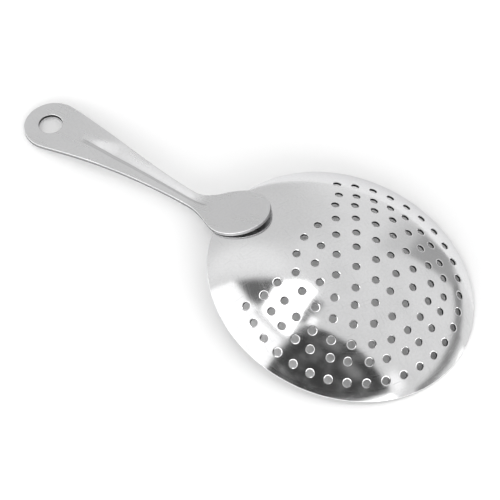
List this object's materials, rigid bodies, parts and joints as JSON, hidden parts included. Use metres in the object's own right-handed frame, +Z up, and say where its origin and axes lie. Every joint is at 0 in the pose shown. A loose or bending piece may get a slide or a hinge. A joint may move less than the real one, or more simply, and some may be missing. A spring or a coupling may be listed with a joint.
{
  "type": "julep strainer",
  "caption": "Julep strainer: a dished oval steel bowl with rings of drain holes, and a flat stamped handle with a hanging hole, spot-welded to the bowl's domed side.",
  "frame": {"origin": "on the surface that the strainer lies on, under the middle of its bounding box", "axes": "+Z up with the bowl's dome upwards, +X along the handle from the bowl to the hanging hole, +Y across the bowl"},
  "size_m": [0.1654, 0.0822, 0.0193],
  "materials": {
    "bowl_steel": "polished stainless steel, mirror-like with soft polishing marks",
    "handle_steel": "satin stainless steel with a fine grain along the handle",
    "weld_steel": "dull grey weld metal"
  },
  "bodies": {
    "root": {"bowl": "bowl_steel", "handle": "handle_steel", "weld_left": "weld_steel", "weld_right": "weld_steel"}
  },
  "joints": []
}
